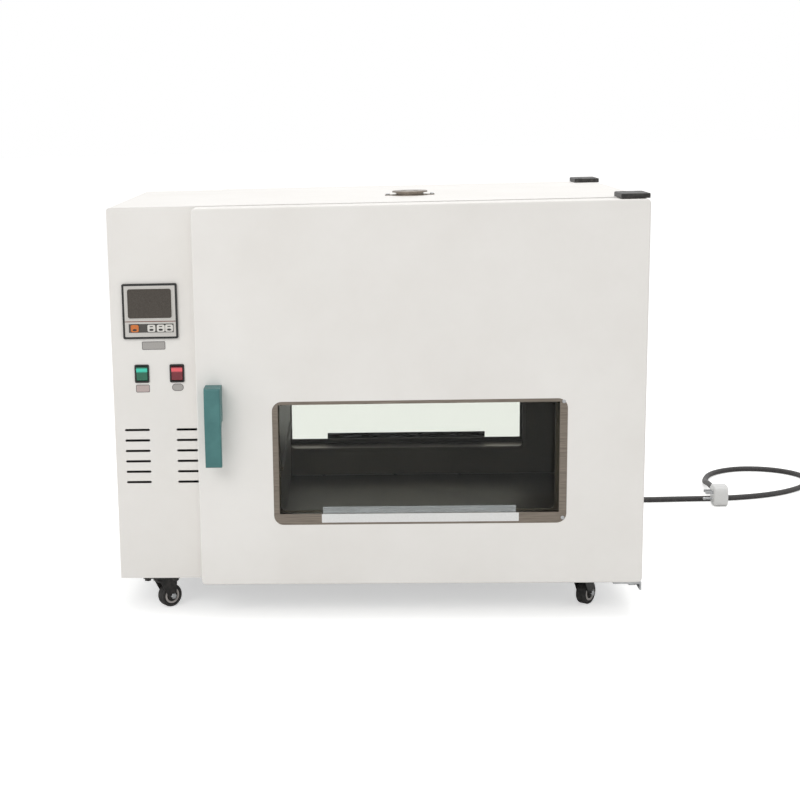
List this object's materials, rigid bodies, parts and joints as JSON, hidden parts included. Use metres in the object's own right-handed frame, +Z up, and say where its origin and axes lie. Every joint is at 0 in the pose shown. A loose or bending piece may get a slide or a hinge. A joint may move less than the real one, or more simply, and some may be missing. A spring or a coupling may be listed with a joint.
{
  "type": "drying oven",
  "caption": "Laboratory drying oven on castors with windowed front and rear doors on side hinges, a control column, a fan-heated chamber, a roof vent and a mains lead.",
  "frame": {"origin": "middle of the oven's outline on the floor, under the castors, the mains lead left out", "axes": "+X to the right along the oven's width, seen from the front; +Y to the rear; +Z up; the front door faces -Y"},
  "size_m": [1.4775, 1.168, 0.73],
  "materials": {
    "case_paint": "semi-gloss warm white powder coat",
    "galvanised": "zinc plated",
    "chamber_steel": "dull, heat-tinted",
    "mineral_wool": "matte fibre",
    "trim_steel": "satin stainless steel",
    "glass": "clear, faintly blue-green",
    "silicone": "matte",
    "lever_plastic": "fine grained",
    "controller_grey": "matte",
    "key_orange": "matte",
    "key_white": "matte",
    "black_plastic": "matte",
    "rocker_green": "translucent gloss",
    "rocker_red": "translucent gloss",
    "hinge_black": "satin",
    "motor_alloy": "cast",
    "fan_steel": "satin",
    "heater_steel": "heat-darkened",
    "castor_black": "satin",
    "castor_rubber": "matte",
    "cord_rubber": "matte",
    "plug_white": "gloss"
  },
  "bodies": {
    "cabinet": {"base_tray": "galvanised", "chamber": "chamber_steel", "chamber_wool": "mineral_wool", "column_wall": "galvanised", "control_panel": "case_paint", "controller": "controller_grey", "cord_gland": "black_plastic", "duct_wall": "chamber_steel", "fan_motor": "motor_alloy", "front_frame": "case_paint", "front_left_castor_plate": "castor_black", "front_lower_hinge": "galvanised", "front_right_castor_plate": "castor_black", "front_seal": "silicone", "front_upper_hinge": "hinge_black", "green_switch_frame": "black_plastic", "heater": "heater_steel", "outer_case": "case_paint", "power_cord": "cord_rubber", "power_plug": "plug_white", "rear_frame": "case_paint", "rear_left_fork": "castor_black", "rear_lower_hinge": "galvanised", "rear_panel": "case_paint", "rear_right_fork": "castor_black", "rear_seal": "silicone", "rear_upper_hinge": "hinge_black", "red_switch_frame": "black_plastic", "temperature_probe": "heater_steel", "vent_collar": "trim_steel"},
    "front_door": {"front_door_skin": "case_paint", "front_door_lining": "chamber_steel", "front_door_wool": "mineral_wool", "front_window_trim": "trim_steel", "front_outer_glass": "glass", "front_inner_glass": "glass"},
    "rear_door": {"rear_door_skin": "case_paint", "rear_door_lining": "chamber_steel", "rear_door_wool": "mineral_wool", "rear_window_trim": "trim_steel", "rear_outer_glass": "glass", "rear_inner_glass": "glass"},
    "front_latch": {"front_lever": "lever_plastic", "front_latch_cam": "galvanised"},
    "rear_latch": {"rear_lever": "lever_plastic", "rear_latch_cam": "galvanised"},
    "vent_cap": {"vent_cap": "trim_steel"},
    "fan": {"fan_wheel": "fan_steel"},
    "green_rocker": {"green_rocker": "rocker_green"},
    "red_rocker": {"red_rocker": "rocker_red"},
    "key_set": {"key_set": "key_orange"},
    "key_shift": {"key_shift": "key_white"},
    "key_down": {"key_down": "key_white"},
    "key_up": {"key_up": "key_white"},
    "front_left_fork": {"front_left_fork": "castor_black"},
    "front_right_fork": {"front_right_fork": "castor_black"},
    "front_left_wheel": {"front_left_wheel": "castor_rubber"},
    "front_right_wheel": {"front_right_wheel": "castor_rubber"},
    "rear_left_wheel": {"rear_left_wheel": "castor_rubber"},
    "rear_right_wheel": {"rear_right_wheel": "castor_rubber"}
  },
  "joints": [
    {"name": "front_door_hinge", "type": "hinge", "parent": "cabinet", "child": "front_door", "pos_m": [0.4445, -0.29775, 0.392], "axis": [0, 0, 1], "range_deg": [0, 110]},
    {"name": "rear_door_hinge", "type": "hinge", "parent": "cabinet", "child": "rear_door", "pos_m": [0.4445, 0.29775, 0.392], "axis": [0, 0, -1], "range_deg": [0, 110]},
    {"name": "front_latch_turn", "type": "hinge", "parent": "front_door", "child": "front_latch", "pos_m": [-0.2765, -0.3225, 0.392], "axis": [0, -1, 0], "range_deg": [0, 90]},
    {"name": "rear_latch_turn", "type": "hinge", "parent": "rear_door", "child": "rear_latch", "pos_m": [-0.2765, 0.3225, 0.392], "axis": [0, -1, 0], "range_deg": [0, 90]},
    {"name": "vent_cap_turn", "type": "hinge", "parent": "cabinet", "child": "vent_cap", "pos_m": [0.0695, -0.07, 0.727], "axis": [0, 0, 1], "range_deg": [0, 90]},
    {"name": "fan_spin", "type": "hinge", "parent": "cabinet", "child": "fan", "pos_m": [-0.2115, 0, 0.392], "axis": [1, 0, 0], "continuous": true},
    {"name": "green_rocker_tilt", "type": "hinge", "parent": "cabinet", "child": "green_rocker", "pos_m": [-0.4057, -0.274, 0.4335], "axis": [-1, 0, 0], "range_deg": [0, 15]},
    {"name": "red_rocker_tilt", "type": "hinge", "parent": "cabinet", "child": "red_rocker", "pos_m": [-0.3441, -0.274, 0.4335], "axis": [-1, 0, 0], "range_deg": [0, 15]},
    {"name": "key_set_press", "type": "slide", "parent": "cabinet", "child": "key_set", "axis": [0, 1, 0], "range_m": [0, 0.0008], "stiffness_N_per_m": 300},
    {"name": "key_shift_press", "type": "slide", "parent": "cabinet", "child": "key_shift", "axis": [0, 1, 0], "range_m": [0, 0.0008], "stiffness_N_per_m": 300},
    {"name": "key_down_press", "type": "slide", "parent": "cabinet", "child": "key_down", "axis": [0, 1, 0], "range_m": [0, 0.0008], "stiffness_N_per_m": 300},
    {"name": "key_up_press", "type": "slide", "parent": "cabinet", "child": "key_up", "axis": [0, 1, 0], "range_m": [0, 0.0008], "stiffness_N_per_m": 300},
    {"name": "front_left_swivel", "type": "hinge", "parent": "cabinet", "child": "front_left_fork", "pos_m": [-0.3855, -0.249, 0.052], "axis": [0, 0, 1], "continuous": true},
    {"name": "front_left_roll", "type": "hinge", "parent": "front_left_fork", "child": "front_left_wheel", "pos_m": [-0.37447, -0.24038, 0.021], "axis": [-0.6157, 0.788, 0], "continuous": true},
    {"name": "front_right_swivel", "type": "hinge", "parent": "cabinet", "child": "front_right_fork", "pos_m": [0.3645, -0.249, 0.052], "axis": [0, 0, 1], "continuous": true},
    {"name": "front_right_roll", "type": "hinge", "parent": "front_right_fork", "child": "front_right_wheel", "pos_m": [0.37312, -0.23797, 0.021], "axis": [-0.788, 0.6157, 0], "continuous": true},
    {"name": "rear_left_roll", "type": "hinge", "parent": "cabinet", "child": "rear_left_wheel", "pos_m": [-0.3855, 0.249, 0.021], "axis": [1, 0, 0], "continuous": true},
    {"name": "rear_right_roll", "type": "hinge", "parent": "cabinet", "child": "rear_right_wheel", "pos_m": [0.3645, 0.249, 0.021], "axis": [1, 0, 0], "continuous": true}
  ]
}
